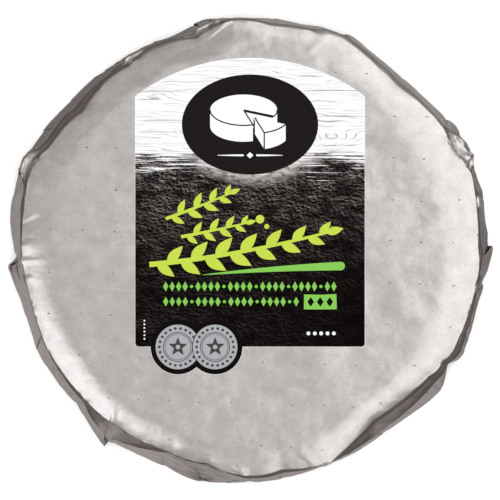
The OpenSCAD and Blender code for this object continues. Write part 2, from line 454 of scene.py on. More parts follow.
def wad_push():
    """Two pushes in mm, outwards and upwards, for the wads that stand out from the ledge."""
    crumple, rows = np.zeros(radii.shape), on_rows("edge", "ledge", "wall")
    down = np.broadcast_to(past_top[rows], angles[rows].shape)
    crumple[rows] = 0.7 * wad_facets.read(angles[rows], down * 1.5)
    outward, upward = np.zeros(radii.shape), np.zeros(radii.shape)
    for middle, wide, start, end, rise, out, up in WADS:
        share = np.exp(-(degrees_from(angles, middle) / wide) ** 4)
        share = share * smooth_step(start, start + rise, past_top)
        share = share * (1 - smooth_step(end - 2, end + 1, past_top))
        outward += (out + crumple * 0.5) * share
        upward += (up + crumple) * share
    return outward, upward


def flute_push():
    """Flutes down the wall, deeper towards the foot."""
    push, rows = np.zeros(radii.shape), on_rows("wall", "foot")
    depth = np.where(is_part["wall"], shares, 1.0 - 0.7 * shares)[rows]
    push[rows] = 0.22 * depth * wave(*on_rim(rows), heights[rows] * 0.22, 7.0, 5.5)
    return push


def base_push():
    """A crumple under the base, with spokes near its middle. It only lifts the sheet off the table."""
    push, rows = np.zeros(radii.shape), on_rows("base")
    x, y = flat_x[rows], flat_y[rows]
    lift = np.abs(wave(x, y, 0, 5.0, 2.2)) * 0.25
    spokes = np.abs(np.sin(np.radians(angles[rows] * 14.5)) + 0.5 * wave(x, y, 0, 3.0, 9.1))
    push[rows] = -lift - smooth_step(24, 4, radii[rows]) * spokes * 0.5
    return push


print("rows pushed as top:", int(on_rows("top", "shoulder", "edge").sum()), "of", len(ROWS))

# %% Bending
DIMPLE = 1.6       # mm that the middle of the base is drawn up
STEP_UNDER = 0.25  # mm at most that a tucked panel lies higher under the base for its step at the foot


def bend_foil():
    """The finished places of the foil's grid in mm: rows, columns, and x, y, z."""
    outward, upward = wad_push()
    push = top_push() + facet_push() + outward + flute_push() + base_push()
    new_radii = radii + push * np.cos(leans)
    new_heights = heights + push * np.sin(leans) + upward
    # Layers of the base lie over each other, and its middle is drawn up into a dimple.
    tucked_in = np.maximum(0, radius_at(FOOT, column_foot) - column_radius)[None, :]
    under = smooth_step(0, 1, np.where(is_part["foot"], shares, is_part["base"] * 1.0))
    new_heights = new_heights + under * np.minimum(tucked_in, STEP_UNDER) * smooth_step(0, 20, radii)
    new_heights = new_heights + is_part["base"] * DIMPLE * smooth_step(12, 1, radii)
    new_heights = np.maximum(new_heights, 0.0) + 2 * LAYER * column_layers * under
    x, y = new_radii * np.cos(np.radians(angles)), new_radii * np.sin(np.radians(angles))
    return np.stack([x, y, new_heights], axis=-1)


grid = bend_foil()
print("foil grid from", np.round(grid.min(axis=(0, 1)), 2), "to", np.round(grid.max(axis=(0, 1)), 2), "mm")

# %% [markdown]
# ## From grid to mesh
#
# The grid becomes one closed mesh: quads between the rows, and a fan at each of the two middles. Its
# UV map is the flat sheet itself, with one unit for 300 mm. A second map, named OFBake, gives most
# of its room to the top face. Smooth shading is right for a soft bend, but an edge sharper than about
# 30 degrees is a real crease, so those are marked sharp.

# %% The foil piece
SHEET_UNIT = 300.0


def add_uv_map(mesh, name, uvs):
    """A UV map from one pair for each vertex."""
    corner = np.zeros(len(mesh.loops), np.int32)
    mesh.loops.foreach_get("vertex_index", corner)
    mesh.uv_layers.new(name=name).data.foreach_set("uv", np.asarray(uvs, np.float32)[corner].ravel())


def mesh_object(name, vertices, faces, maps=None):
    """A mesh object from places in mm. maps, if given, holds UV maps by name, a pair for each vertex."""
    mesh = bpy.data.meshes.new(name)
    mesh.from_pydata((np.asarray(vertices) * MM).tolist(), [], faces)
    for map_name, uvs in (maps or {}).items():
        add_uv_map(mesh, map_name, uvs)
    piece = bpy.data.objects.new(name, mesh)
    bpy.context.scene.collection.objects.link(piece)
    return piece


def foil_maps():
    """Both UV maps, for the grid's points and the two middles."""
    turn, middles = np.radians(column_top), [[0.5, 0.5], [0.5, 0.5]]
    sheet = np.stack([runs * np.cos(turn), runs * np.sin(turn)], axis=-1)
    length = np.hypot(sheet[..., 0], sheet[..., 1])[..., None]
    squeezed = np.interp(length, (0, 52, 77, 125), (0, 0.33, 0.45, 0.49)) * sheet / length
    return {"sheet": np.vstack([sheet.reshape(-1, 2) / SHEET_UNIT + 0.5, middles]),
            "OFBake": np.vstack([squeezed.reshape(-1, 2) + 0.5, middles])}


def make_foil():
    rows, columns = grid.shape[:2]
    middles = [[0, 0, grid[0, :, 2].mean()], [0, 0, grid[-1, :, 2].mean() + 0.3]]
    faces = [(r * columns + c, (r + 1) * columns + c, (r + 1) * columns + (c + 1) % columns,
              r * columns + (c + 1) % columns) for r in range(rows - 1) for c in range(columns)]
    top, bottom, last = rows * columns, rows * columns + 1, (rows - 1) * columns
    faces += [(top, c, (c + 1) % columns) for c in range(columns)]
    faces += [(bottom, last + (c + 1) % columns, last + c) for c in range(columns)]
    piece = mesh_object("foil_wrap", np.vstack([grid.reshape(-1, 3), middles]), faces, foil_maps())
    # The bottom fan would lie across the whole of both maps, so it is put away in a corner.
    for layer in piece.data.uv_layers:
        for polygon in piece.data.polygons[-columns:]:
            for corner, place in zip(polygon.loop_indices, ((0.01, 0.01), (0.02, 0.01), (0.01, 0.02))):
                layer.data[corner].uv = place
    piece.data.shade_smooth()
    piece.data.set_sharp_from_angle(angle=math.radians(34))
    return piece


foil = make_foil()
print(f"foil_wrap: {len(foil.data.vertices)} vertices, {len(foil.data.polygons)} faces")

# %% [markdown]
# ## Shared surface grain
#
# Foil, paper and ink all have a fine uneven grain, at different sizes. A material could each time build
# its own noise, but one shader node group with named inputs says it once: it takes a place, a size of
# grain and a contrast, and gives a height for a Bump node and a mask that varies roughness or colour.

# %% Node helpers
def add(tree, kind, inputs=None, **settings):
    """A new node. Each input, by name or number, is set to a value or linked from a socket."""
    made = tree.nodes.new(kind)
    for name, value in settings.items():
        setattr(made, name, value)
    for key, value in (inputs or {}).items():
        if isinstance(value, bpy.types.NodeSocket):
            tree.links.new(value, made.inputs[key])
        else:
            made.inputs[key].default_value = value
    return made


def sums(tree, operation, a, b=0.0, c=0.0, clamp=False):
    """The output socket of a Math node."""
    return add(tree, "ShaderNodeMath", {0: a, 1: b, 2: c}, operation=operation, use_clamp=clamp).outputs[0]


def times(tree, a, b, clamp=False):
    return sums(tree, "MULTIPLY", a, b, clamp=clamp)


def vectors(tree, operation, a, b):
    """The output socket of a Vector Math node."""
    return add(tree, "ShaderNodeVectorMath", {0: a, 1: b}, operation=operation).outputs[0]


def blend_colour(tree, share, a, b):
    """The colour a where share is 0 and b where it is 1."""
    made = add(tree, "ShaderNodeMix", {0: share, 6: a, 7: b}, data_type="RGBA", clamp_factor=True)
    return made.outputs[2]


def spread(tree, value, low, high, start=0.0, end=1.0, kind="LINEAR"):
    """A value that goes from start to end while the given one goes from low to high."""
    limits = {0: value, 1: low, 2: high, 3: start, 4: end}
    return add(tree, "ShaderNodeMapRange", limits, interpolation_type=kind).outputs[0]


def noise_at(tree, place, scale, detail=2.0, roughness=0.5, distortion=0.0):
    """Noise from 0 to 1, with about that many waves for one unit of the place."""
    values = {"Vector": place, "Scale": scale, "Detail": detail, "Roughness": roughness,
              "Distortion": distortion}
    return add(tree, "ShaderNodeTexNoise", values).outputs[0]


def bumped(tree, height, distance, strength, over=None):
    """The normal that a Bump node gives, laid over an earlier one."""
    values = {"Height": height, "Distance": distance, "Strength": strength}
    if over is not None:
        values["Normal"] = over
    return add(tree, "ShaderNodeBump", values).outputs[0]

# %% The grain group
def grain_group():
    group = bpy.data.node_groups.new("surface grain", "ShaderNodeTree")
    for name, kind, start in (("Place", "Vector", None), ("Grains per metre", "Float", 1500),
                              ("Contrast", "Float", 1.0)):
        socket = group.interface.new_socket(name, in_out="INPUT", socket_type="NodeSocket" + kind)
        if start is not None:
            socket.default_value = start
    for name in ("Height", "Mask"):
        group.interface.new_socket(name, in_out="OUTPUT", socket_type="NodeSocketFloat")
    given = add(group, "NodeGroupInput").outputs
    place, grains, contrast = given["Place"], given["Grains per metre"], given["Contrast"]
    fine = noise_at(group, place, grains, 4.0, 0.6)
    wide = noise_at(group, place, times(group, grains, 0.13))
    both = sums(group, "MULTIPLY_ADD", fine, 0.5, times(group, wide, 0.5))
    centred = times(group, sums(group, "SUBTRACT", both, 0.5), contrast)
    mask = sums(group, "ADD", centred, 0.5, clamp=True)
    add(group, "NodeGroupOutput", {"Height": both, "Mask": mask})
    return group


GRAIN = grain_group()


def grain_at(tree, place, grains, contrast):
    """The group in a material: its Height and Mask sockets."""
    values = {"Place": place, "Grains per metre": grains, "Contrast": contrast}
    node = add(tree, "ShaderNodeGroup", values, node_tree=GRAIN)
    return node.outputs["Height"], node.outputs["Mask"]


print("group:", GRAIN.name, [s.name for s in GRAIN.interface.items_tree])

# %% [markdown]
# ## The foil's finish
#
# Cheese foil is thin aluminium laid on paper. It is metal, so all its light is reflection, and its
# colour is a slightly warm grey. Rolled foil pressed on paper isn't a mirror: it blurs what it reflects,
# unevenly. On top of the shape there are marks too fine to model, made here as bump: broad faint dents,
# mottles that are longer from left to right, a net of hair-fine crumple lines, and the grain of the
# paper behind.

# %% Foil material
def srgb(red, green, blue):
    """A colour given as on a screen, 0 to 255, as the shader wants it."""
    return tuple((c / 255 / 12.92) if c <= 10 else ((c / 255 + 0.055) / 1.055) ** 2.4
                 for c in (red, green, blue)) + (1.0,)


def printed(red, green, blue):
    """A printed colour: paper and ink give back only part of the light, so it is darker than it looks."""
    return tuple(c * 0.78 for c in srgb(red, green, blue)[:3]) + (1.0,)


def new_material(name):
    material = bpy.data.materials.new(name)
    material.use_nodes = True
    material.node_tree.nodes.clear()
    return material, material.node_tree


def close_material(tree, **sockets):
    """The Principled shader and the output. Spaces in socket names are written as _."""
    values = {name.replace("_", " "): value for name, value in sockets.items()}
    shader = add(tree, "ShaderNodeBsdfPrincipled", values)
    add(tree, "ShaderNodeOutputMaterial", {"Surface": shader.outputs[0]})


def crumple_net(tree, place):
    """Thin lines between irregular cells a few mm across: 0 on a line, more inside the cells."""
    cells = add(tree, "ShaderNodeTexVoronoi", {"Vector": place, "Scale": 190.76, "Randomness": 1.0},
                feature="DISTANCE_TO_EDGE")
    return sums(tree, "SMOOTH_MIN", cells.outputs["Distance"], 0.12, 0.08)


def foil_material():
    material, tree = new_material("satin foil")
    place = add(tree, "ShaderNodeTexCoord").outputs["Object"]
    grain, grain_mask = grain_at(tree, place, 2600.0, 2.2)
    dents = noise_at(tree, place, 95.0, 2.5, 0.55, 0.4)
    mottles = noise_at(tree, vectors(tree, "MULTIPLY", place, (0.55, 1.0, 1.0)), 190.0, 2.0, 0.45, 0.2)
    normal = bumped(tree, dents, 0.0004, 0.5)
    normal = bumped(tree, mottles, 0.0002, 0.9, normal)
    normal = bumped(tree, crumple_net(tree, place), 0.0002, 0.22, normal)
    normal = bumped(tree, grain, 0.00004, 0.35, normal)
    colour = blend_colour(tree, grain_mask, srgb(216, 210, 206), srgb(244, 239, 235))
    rough = sums(tree, "MULTIPLY_ADD", noise_at(tree, place, 70.0, 3.0), 0.12, 0.16)
    close_material(tree, Base_Color=colour, Metallic=1.0, Roughness=rough, Normal=normal)
    return material


foil.data.materials.append(foil_material())
print("foil finish:", len(foil.data.materials[0].node_tree.nodes), "nodes")

# %% [markdown]
# ## Breathing holes
#
# The sheet is pricked in straight rows before it is cut, so that the rind can breathe. The holes could
# be dark spots in the material, but they are real marks with a lip, and they follow the sheet over the
# shoulder and into the pleats. Geometry Nodes suit this: a flat grid of points stands for the rows, each
# point is looked up in the foil's sheet map to find where it went when the sheet was folded, and one
# tiny slit with a raised lip is set there. Those under the label, and those low on the wall or under
# the base, are left out.

# %% One slit
def pin_prick():
    """A slit 0.7 mm long with a raised lip. Its faces are marked where they are the opening, which gets
    painted shade.
    """
    rings = [(0.44, 0.26, -0.02), (0.36, 0.18, 0.025), (0.28, 0.12, 0.015), (0.26, 0.1, 0.0)]
    around = 12
    vertices = [(a * math.cos(t), b * math.sin(t), z) for a, b, z in rings
                for t in np.linspace(0, 2 * math.pi, around, endpoint=False)]
    faces = [(r * around + i, r * around + (i + 1) % around, (r + 1) * around + (i + 1) % around,
              (r + 1) * around + i) for r in range(3) for i in range(around)]
    faces.append(tuple(3 * around + i for i in range(around)))
    faces.append(tuple(range(around - 1, -1, -1)))
    piece = mesh_object("pin_prick", vertices, faces)
    dark = piece.data.attributes.new("opening", "BOOLEAN", "FACE")
    dark.data.foreach_set("value", [i >= 2 * around and i != len(faces) - 1 for i in range(len(faces))])
    return piece


prick = pin_prick()
print(f"one slit has {len(prick.data.polygons)} faces")

# %% [markdown]
# ## The printed label: its outline and its artwork
#
# The label is paper, cut to an arch at the top with two round seals hanging over the bottom edge. Its
# print is flat fields of ink: a whitewashed board above, dark slate below, a black oval with a cheese
# pictogram, green sprigs and a brushed stroke. The print could be an image on a plane, but the edges of
# ink would blur. Here each field of ink is a polygon in mm, in the order it is printed.

# %% Drawing helpers
SEAL_R = 6.1
HALF_W, DROP = 25.4, 21.4                # mm from the middle to the label's sides and its bottom edge
HEAD_R = float(FLAT[1].mean()) - 2.4     # the arched head runs this far from the middle
SEALS = [(-15.9, -DROP), (-7.7, -DROP)]
OVAL_Y, OVAL_RX, OVAL_RY = 27.7, 15.05, 11.05
PRINT = []                               # (ink name, polygon as an array of points in mm)


def arc(cx, cy, rx, ry, start=0.0, end=360.0, count=48):
    """Points of an arc or a whole ellipse, without repeating the last one of a whole one."""
    whole = abs(end - start) >= 360
    turns = np.radians(np.linspace(start, end, count + (not whole), endpoint=not whole))
    return np.stack([cx + rx * np.cos(turns), cy + ry * np.sin(turns)], axis=1)


def dot(x, y, radius, count=16):
    return arc(x, y, radius, radius, count=count)


def lozenge(x, y, wide, high):
    return [(x, y - high / 2), (x + wide / 2, y), (x, y + high / 2), (x - wide / 2, y)]


def put(ink, *polygons):
    PRINT.extend((ink, np.asarray(polygon, float)) for polygon in polygons)


def stroke(points, widths):
    """A tapered brush stroke: a closed polygon round a line of points, of the given full widths."""
    points = np.asarray(points, float)
    along = np.gradient(points, axis=0)
    along /= np.linalg.norm(along, axis=1)[:, None]
    side = np.stack([-along[:, 1], along[:, 0]], axis=1) * np.asarray(widths)[:, None] / 2
    return np.vstack([points + side, (points - side)[::-1]])


def curve(start, pull, end, count=14):
    """Points of a bent line from start to end, pulled towards a third point."""
    t = np.linspace(0, 1, count)[:, None]
    start, pull, end = (np.array(p, float) for p in (start, pull, end))
    return start * (1 - t) ** 2 + 2 * pull * t * (1 - t) + end * t * t


def label_shape(inset):
    """The arched outline of the label, moved in by inset mm, counter-clockwise."""
    half, low, head = HALF_W - inset, -DROP + inset, HEAD_R - inset
    low_r, high_r = 0.7, 1.0
    x = half - high_r
    y = math.sqrt((head - high_r) ** 2 - x * x)
    lean = math.degrees(math.atan2(y, x))
    return np.vstack([
        arc(-half + low_r, low + low_r, low_r, low_r, 180, 270, 6),
        arc(half - low_r, low + low_r, low_r, low_r, 270, 360, 6),
        arc(x, y, high_r, high_r, 0, lean, 5),
        arc(0, 0, head, head, lean + 0.5, 179.5 - lean, 48),
        arc(-x, y, high_r, high_r, 180 - lean, 180, 5),
    ])


print(f"label {2 * HALF_W:.1f} mm wide, arch of radius {HEAD_R:.1f} mm")

# %% Board, slate and the oval with its cheese
# Each gap between two boards that shows: its left and right end, and its height.
BOARD_GAPS = [(-24.8, -13.5, 35), (12.5, 25, 35.2), (-25, -19, 33.2), (-25, -14, 28.6), (14.8, 25, 29.5),
              (-25, -15, 26)]
GAP_WIDTHS = [0.03, 0.1, 0.16, 0.12, 0.16, 0.1, 0.08, 0.03]


def board_and_slate():
    put("paper", label_shape(0), *(dot(x, y, SEAL_R, 72) for x, y in SEALS))
    put("ground", label_shape(0.07))
    for x0, x1, y in BOARD_GAPS:
        gap = curve((x0, y), ((x0 + x1) / 2, y + 0.15), (x1, y - 0.05), len(GAP_WIDTHS))
        put("board joint", stroke(gap, GAP_WIDTHS))


def cheese_mark(cx, cy, radius, tall, flatten=0.46):
    """A cut round of cheese seen from the front, with its wedge pulled out to the right."""
    cut_from, cut_to, line, pulled = -74, -24, 0.3, (2.5, -1.75)
    tip = np.array([cx, cy])

    def rim(start, end, drop=0.0, move=(0.0, 0.0), count=16):
        return arc(cx + move[0], cy + move[1] - drop, radius, radius * flatten, start, end, count)

    def wall(start, end, move=(0.0, 0.0)):
        return np.vstack([rim(start, end, 0, move), rim(start, end, tall, move)[::-1]])

    def cut_face(angle, move=(0.0, 0.0)):
        x, y = rim(angle, angle + 1, 0, move, 1)[0]
        tx, ty = tip + move
        return [(tx, ty), (x, y), (x, y - tall), (tx, ty - tall)]

    def draw(*paths, width=line):
        for path in paths:
            put("black ink", stroke(path, np.full(len(path), width)))

    # The round, with the cut taken out of it in black and its far face put back in white.
    put("white ink", cut_face(cut_to), wall(cut_to, 0), rim(0, 360, count=60), wall(180, 360 + cut_from))
    left, right = (rim(angle, angle + 1, count=1)[0] for angle in (cut_from, cut_to))
    below = [left + (2.6, -tall - 1), left + (0, -tall - 0.6)]
    put("black ink", [tip, *rim(cut_from, cut_to), tip + (0.01, 0)], [left, *rim(cut_from, -60), *below])
    put("white ink", [tip + (0.25, -0.45), right - (0.15, 0.42), right - (0.15, tall),
                      tip + (1.75, -tall - 0.25), left + (0.35, -0.25)])
    draw(rim(180, 360 + cut_from), rim(cut_to, 0), [tip, left], [tip, right])
    # The wedge, in a black outline that sets it off from the round.
    out = tip + pulled
    low_rim = rim(cut_from, cut_to, tall, pulled)
    shape = np.vstack([out, rim(cut_from, cut_to, 0, pulled), low_rim[::-1], out - (0, tall), out])
    draw(shape, width=2.2 * line)
    face = cut_face(cut_from, pulled)
    put("white ink", face, [out, *rim(cut_from, cut_to, 0, pulled)], wall(cut_from, cut_to, pulled))
    draw(rim(cut_from, cut_to, 0, pulled), face[:2], face[1:3])


def oval_badge():
    put("black ink", arc(0, OVAL_Y, OVAL_RX, OVAL_RY, count=120))
    cheese_mark(-1.4, 30.9, 7.4, 3.6)
    # A small rule with a diamond in the middle.
    rule_y = 20.9
    for side in (-1, 1):
        rule = [(side * x, rule_y) for x in (1.4, 4.0, 7.2)]
        put("white ink", stroke(rule, [0.42, 0.34, 0.1]))
    put("white ink", lozenge(0, rule_y, 1.5, 1.4))


board_and_slate()
oval_badge()
print(f"{len(PRINT)} fields of ink so far")

# %% Sprigs and the brushed stroke
def leaf(base, angle, length, width):
    """A pointed leaf that grows from base."""
    t = np.linspace(0, 1, 9)
    half = np.sin(np.pi * t ** 0.8) * width / 2
    upper, lower = (np.stack([t * length, side * half], axis=1) for side in (1, -1))
    c, s = math.cos(math.radians(angle)), math.sin(math.radians(angle))
    return np.vstack([upper, lower[-2:0:-1]]) @ np.array([[c, s], [-s, c]]) + base


def sprig(ink, line, thick, leaf_long, leaf_wide, pairs, spread_out=48):
    """A stem along a line of points, with leaves on both sides and one at its tip."""
    put(ink, stroke(line, np.linspace(thick, thick * 0.45, len(line))))
    for i in range(pairs):
        for side in (1, -1):
            share = (i + 0.55 + 0.22 * side) / (pairs + 0.15)
            place = share * (len(line) - 1)
            k = min(int(place), len(line) - 2)
            base = line[k] + (line[k + 1] - line[k]) * (place - k)
            way = math.degrees(math.atan2(*(line[k + 1] - line[k])[::-1]))
            size = math.sin(math.pi * (0.2 + 0.75 * share)) * 0.45 + 0.6
            turned = way + side * (spread_out - 8 * share)
            put(ink, leaf(base, turned, leaf_long * size, leaf_wide * size))
    last = line[-1] - line[-2]
    way = math.degrees(math.atan2(*last[::-1]))
    put(ink, leaf(line[-1] - last * 0.4, way, leaf_long * 0.75, leaf_wide * 0.8))


def sprigs_and_stroke():
    sprig("lime ink", curve((-18.6, 6.9), (-11, 9.6), (-4.2, 12.6)), 0.75, 3.6, 1.45, 4)
    sprig("lime ink", curve((-15.2, 2.9), (-7.5, 4.4), (-0.6, 6.0)), 0.75, 3.3, 1.35, 4)
    put("lime ink", dot(2.2, 6.8, 0.95, 24), dot(3.7, 5.2, 0.55, 18))
    sprig("lime ink", curve((-22.2, -3.2), (-4, -1.6), (17.6, 4.0), 22), 1.2, 5.3, 2.3, 7, 42)
    end, count = (20.0, -3.55), 16
    widths = np.linspace(0.02, 1, count) ** 0.8 * 1.9
    put("green ink", stroke(curve((-10.5, -5.5), (5, -4.0), end, count), widths), dot(*end, 0.95, 24))


sprigs_and_stroke()
print(f"{len(PRINT)} fields of ink so far")

# %% Rows of lozenges, and the seals
def trim_rows():
    """Two rows of lozenges with dots between them, a green tab, and a few white dots."""
    for y, x0, x1, high in ((-8.05, -18.6, 18.5, 2.2), (-11.4, -18.6, 10.2, 2.1)):
        count = round((x1 - x0) / 1.42)
        for i in range(count + 1):
            x = x0 + (x1 - x0) * i / count
            put("green ink", dot(x, y, 0.36, 12) if i % 5 == 4 else lozenge(x, y, 1.2, high))
    put("green ink", stroke([(11.9, -11.45), (15.5, -11.5), (19.1, -11.4)], [3.3, 3.25, 3.35]))
    for x in (13.4, 15.5, 17.6):
        put("slate ink", lozenge(x, -11.45, 1.5, 2.1))
    for i in range(5):
        put("white ink", dot(12.9 + 1.4 * i, -18.4, 0.42))
    for i in range(6):
        put("white ink", dot(-23.3, -15.6 - 0.8 * i, 0.2, 10))


def seal(x, y):
    """A silver seal with a thin dark rim: beads round its edge, two fine rings, and a star."""
    put("slate ink", dot(x, y, 5.08, 64))
    put("silver ink", dot(x, y, 4.93, 64))
    beads = np.linspace(0, 2 * math.pi, 22, endpoint=False)
    put("seal line", *(dot(x + 4.1 * math.cos(t), y + 4.1 * math.sin(t), 0.33, 8) for t in beads))
    for outer, inner in ((3.3, 3.12), (2.9, 2.78)):
        put("seal line", dot(x, y, outer, 48))
        put("silver ink", dot(x, y, inner, 48))
    turns = np.radians(np.arange(90, 450, 36))
    reach = np.where(np.arange(10) % 2 == 0, 2.2, 0.95)
    put("seal line", np.stack([x + reach * np.cos(turns), y + reach * np.sin(turns)], axis=1))
    put("silver ink", dot(x, y, 0.5, 14))


trim_rows()
put("slate ink", *(dot(x, y, SEAL_R - 0.06, 72) for x, y in SEALS))
for place in SEALS:
    seal(*place)
print(f"{len(PRINT)} fields of ink, {sum(len(p) for _, p in PRINT)} corners")

# %% [markdown]
# ## Cutting the label mesh along its print
#
# If each ink lay as its own film over the next, thin films would fight for the same place. Instead all
# outlines go into one Delaunay triangulation, with a grid of points between them so that the paper can
# follow the foil. Each triangle then takes the ink that was printed last where it lies. The sheet is
# draped on the foil's own waves, given the thickness of paper, and closed underneath.

# %% Cutting the sheet
INKS = ["paper", "ground", "board joint", "black ink", "white ink", "lime ink", "green ink", "slate ink",
        "silver ink", "seal line"]
GRID = 1.0  # mm between the points that let the paper follow the foil


def inside(points, polygon):
    """Which points lie inside a polygon, as an array of true and false."""
    found = np.zeros(len(points), bool)
    low, high = polygon.min(axis=0), polygon.max(axis=0)
    near = np.nonzero(np.all((points >= low) & (points <= high), axis=1))[0]
    px, py = points[near].T
    hits = np.zeros(len(near), bool)
    for (x0, y0), (x1, y1) in zip(polygon, np.roll(polygon, -1, axis=0)):
        if y0 != y1:
            cross = (y0 > py) != (y1 > py)
            hits ^= cross & (px < (x1 - x0) * (py - y0) / (y1 - y0) + x0)
    found[near] = hits
    return found


def short_edges(polygon, longest=1.0):
    """The same polygon with extra points on its long edges, so that it can follow the foil."""
    out = []
    for start, end in zip(polygon, np.roll(polygon, -1, axis=0)):
        parts = max(1, math.ceil(math.dist(start, end) / longest))
        out += [start + (end - start) * i / parts for i in range(parts)]
    return out


def cut_print():
    """Flat triangles of the label: points in mm, corners of each triangle, and its ink's number."""
    points, edges = [], []
    for _, polygon in PRINT:
        outline = short_edges(polygon)
        start, count = len(points), len(outline)
        points += [Vector(p) for p in outline]
        edges += [(start + i, start + (i + 1) % count) for i in range(count)]
    xs, ys = np.arange(-HALF_W, HALF_W + 1, GRID), np.arange(-DROP - 6, HEAD_R + 1, GRID)
    points += [Vector((x + 0.013, y + 0.017)) for x in xs for y in ys]
    flat, _, triangles, *_ = delaunay_2d_cdt(points, edges, [], 0, 1e-5, False)
    flat, triangles = np.array([p[:] for p in flat]), np.array(triangles)
    middle = flat[triangles].mean(axis=1)
    ink = np.full(len(triangles), -1)
    for name, polygon in PRINT:
        ink[inside(middle, polygon)] = INKS.index(name)
    return flat, triangles[ink >= 0], ink[ink >= 0]


flat_label, label_triangles, label_inks = cut_print()
print(f"{len(label_triangles)} flat triangles")

# %% The label piece
PAPER, LIFT = 0.11, 0.02  # mm: the paper's thickness, and the gap left between it and the foil


def label_map(flat):
    """A UV map named OFBake: the print, and its underside small beside it."""
    tall = HEAD_R + DROP + SEAL_R
    corner = np.array([HALF_W, DROP + SEAL_R])
    return np.vstack([(flat + corner) / tall * 0.99 + 0.004, [0.8, 0.2] + flat / tall * 0.1])


def make_label():
    """The paper draped on the foil's own waves, given its thickness and closed underneath."""
    used, triangles = np.unique(label_triangles, return_inverse=True)
    flat, triangles = flat_label[used], triangles.reshape(-1, 3)
    corner = flat[triangles]
    area = np.cross(corner[:, 1] - corner[:, 0], corner[:, 2] - corner[:, 0])
    triangles[area < 0] = triangles[area < 0][:, ::-1]
    drape = top_height(flat[:, 0], flat[:, 1]) + LIFT
    vertices = np.vstack([np.column_stack([flat, drape + PAPER]), np.column_stack([flat, drape])])
    upper = triangles.tolist()
    edges = {edge: True for a, b, c in upper for edge in ((a, b), (b, c), (c, a))}
    rim = [edge for edge in edges if edge[::-1] not in edges]
    count = len(flat)
    faces = upper + [[c + count, b + count, a + count] for a, b, c in upper]
    faces += [[b, a, a + count, b + count] for a, b in rim]
    piece = mesh_object("paper_label", vertices, faces, {"OFBake": label_map(flat)})
    slots = label_inks.tolist() + [0] * (len(upper) + len(rim))
    piece.data.polygons.foreach_set("material_index", slots)
    return piece


label = make_label()
print(f"paper_label: {len(label.data.polygons)} faces;",
      {name: int((label_inks == i).sum()) for i, name in enumerate(INKS)})

# %% [markdown]
# ## The label's ground: whitewashed board over slate
#
# Printed behind everything is a board painted white, with thin grey streaks of grain along it, and
# below it a dark slate face. The two meet in a broken, brushed edge. All of it is built from noise
# that is drawn out along the board. A phase rises across the board, and it has a thin line at each
# whole number, so the slow noise added to it makes the lines wander. The slate's relief is noise
# compared with itself moved a little, which lights one side of each ridge.

# %% The board's and the slate's colours
def long_noise(tree, place, across, along, detail, seed, distortion=0.0):
    """Noise drawn out along the board: so many waves for a mm across it and along it."""
    drawn = add(tree, "ShaderNodeMapping", {"Vector": place, "Location": (seed, seed * 2, 0),
                                            "Scale": (along, across, 1)})
    return noise_at(tree, drawn.outputs[0], 1.0, detail, 0.6, distortion)


def board_colour(tree, place, x, y):
    """White, with many thin grey lines along it that bend round a knot at the right."""

    def line_at(phase, wide):
        """1 where the phase is a whole number, down to 0 beside it."""
        return spread(tree, sums(tree, "PINGPONG", phase, 0.5), 0.0, wide, 1.0, 0.0)

    knot_x = times(tree, sums(tree, "SUBTRACT", x, 17.0), 0.2)
    knot_y = times(tree, sums(tree, "SUBTRACT", y, 24.0), 0.42)
    away = sums(tree, "MULTIPLY_ADD", knot_x, knot_x, times(tree, knot_y, knot_y))
    knot = times(tree, sums(tree, "EXPONENT", times(tree, away, -1.0)), 3.6)
    warp = times(tree, long_noise(tree, place, 0.14, 0.04, 2.0, 4.2), 9.0)
    phase = sums(tree, "ADD", sums(tree, "MULTIPLY_ADD", y, 1.35, warp), knot)
    shown = spread(tree, long_noise(tree, place, 1.6, 0.10, 3.0, 9.3), 0.40, 0.62)
    fine_shown = spread(tree, long_noise(tree, place, 0.9, 0.14, 3.0, 6.1), 0.42, 0.7, 0.0, 0.55)
    wash = spread(tree, long_noise(tree, place, 2.2, 0.12, 5.0, 3.3), 0.42, 0.75, 0.0, 0.3)
    grey = sums(tree, "MULTIPLY_ADD", line_at(phase, 0.11), shown, wash)
    fine_line = line_at(times(tree, phase, 2.3), 0.2)
    grey = sums(tree, "MULTIPLY_ADD", fine_line, fine_shown, grey, clamp=True)
    return blend_colour(tree, times(tree, grey, 0.8), printed(253, 253, 253), printed(106, 98, 95))


def slate_colour(tree, place, x, y):
    """Near black, with the lit sides of its ridges in warm grey, most of them near the board."""
    beside = vectors(tree, "ADD", place, (0.12, 0.17, 0))
    here, there = (long_noise(tree, at, 1.7, 1.15, 12.0, 2.4, 0.4) for at in (place, beside))
    lit = spread(tree, sums(tree, "SUBTRACT", there, here), -0.03, 0.17)
    blotch = spread(tree, long_noise(tree, place, 0.45, 0.25, 4.0, 5.5), 0.4, 0.6, 0.2, 1.55)
    upper = sums(tree, "POWER", spread(tree, y, -12.0, 21.0), 2.0)
    left = spread(tree, x, 26.0, -20.0, 0.015, 0.085)
    glow = sums(tree, "MULTIPLY_ADD", upper, 0.85, left)
    amount = times(tree, lit, times(tree, glow, blotch), clamp=True)
    return blend_colour(tree, amount, printed(8, 4, 3), printed(166, 157, 152))


def oval_haze(tree, place, x, y):
    """A pale haze on the slate: 0.85 at most at the oval's edge, and 0 a quarter of its size out."""
    across = sums(tree, "DIVIDE", sums(tree, "SUBTRACT", x, 1.0), OVAL_RX)
    up = sums(tree, "DIVIDE", sums(tree, "SUBTRACT", y, OVAL_Y), OVAL_RY)
    away = sums(tree, "SQRT", sums(tree, "MULTIPLY_ADD", across, across, times(tree, up, up)))
    patchy = spread(tree, long_noise(tree, place, 1.1, 0.6, 6.0, 1.9), 0.3, 0.6, 0.0, 0.85)
    return times(tree, spread(tree, away, 1.26, 1.0), patchy)

